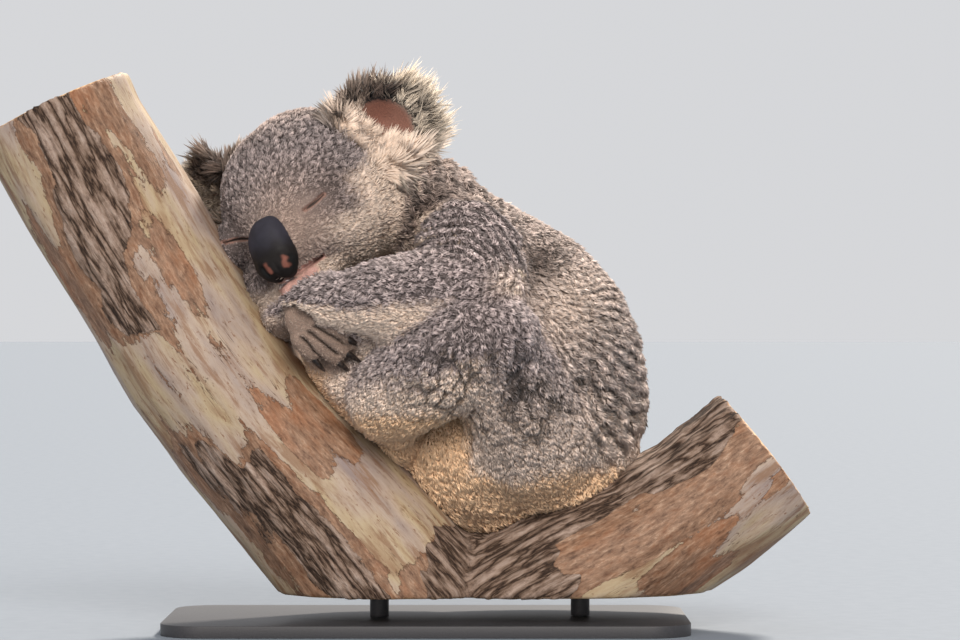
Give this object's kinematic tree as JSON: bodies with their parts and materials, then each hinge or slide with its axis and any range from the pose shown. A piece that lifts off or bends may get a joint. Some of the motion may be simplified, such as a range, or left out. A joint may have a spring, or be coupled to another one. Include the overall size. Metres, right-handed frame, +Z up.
{
  "type": "sleeping koala on a forked branch",
  "caption": "Life-size still model of a koala asleep in the fork of a gum tree, on a cut length of the fork held by a flat display stand.",
  "frame": {"origin": "on the floor, at the underside of the stand, below the crotch of the fork", "axes": "+Z up, -X the way the koala's body faces, -Y towards the koala's left side and its turned face"},
  "size_m": [0.6981, 0.3113, 0.477],
  "materials": {
    "coat": "dense woolly grey-brown fur with cream underparts, matt",
    "nose_skin": "bare dark pebbled skin, satin",
    "claw_horn": "dark horn, smooth",
    "bark": "smooth grey and tan gum bark with rough peeling plates",
    "stand": "satin charcoal paint"
  },
  "bodies": {
    "root": {"arm_left": "coat", "arm_right": "coat", "claw_foot_left_1": "claw_horn", "claw_foot_left_2": "claw_horn", "claw_foot_left_3": "claw_horn", "claw_foot_left_4": "claw_horn", "claw_foot_right_1": "claw_horn", "claw_foot_right_2": "claw_horn", "claw_foot_right_3": "claw_horn", "claw_foot_right_4": "claw_horn", "claw_hand_left_1": "claw_horn", "claw_hand_left_2": "claw_horn", "claw_hand_left_3": "claw_horn", "claw_hand_left_4": "claw_horn", "claw_hand_right_1": "claw_horn", "claw_hand_right_2": "claw_horn", "claw_hand_right_3": "claw_horn", "claw_hand_right_4": "claw_horn", "claw_hand_right_5": "claw_horn", "ear_left": "coat", "ear_right": "coat", "eyelids_left": "coat", "eyelids_right": "coat", "foot_left": "coat", "foot_right": "coat", "hand_left": "coat", "hand_right": "coat", "head": "coat", "jaw": "coat", "leg_left": "coat", "leg_right": "coat", "neck": "coat", "nose": "nose_skin", "perch_fork": "bark", "stand_base": "stand", "stand_rod_1": "stand", "stand_rod_2": "stand", "trunk": "coat"}
  },
  "joints": []
}
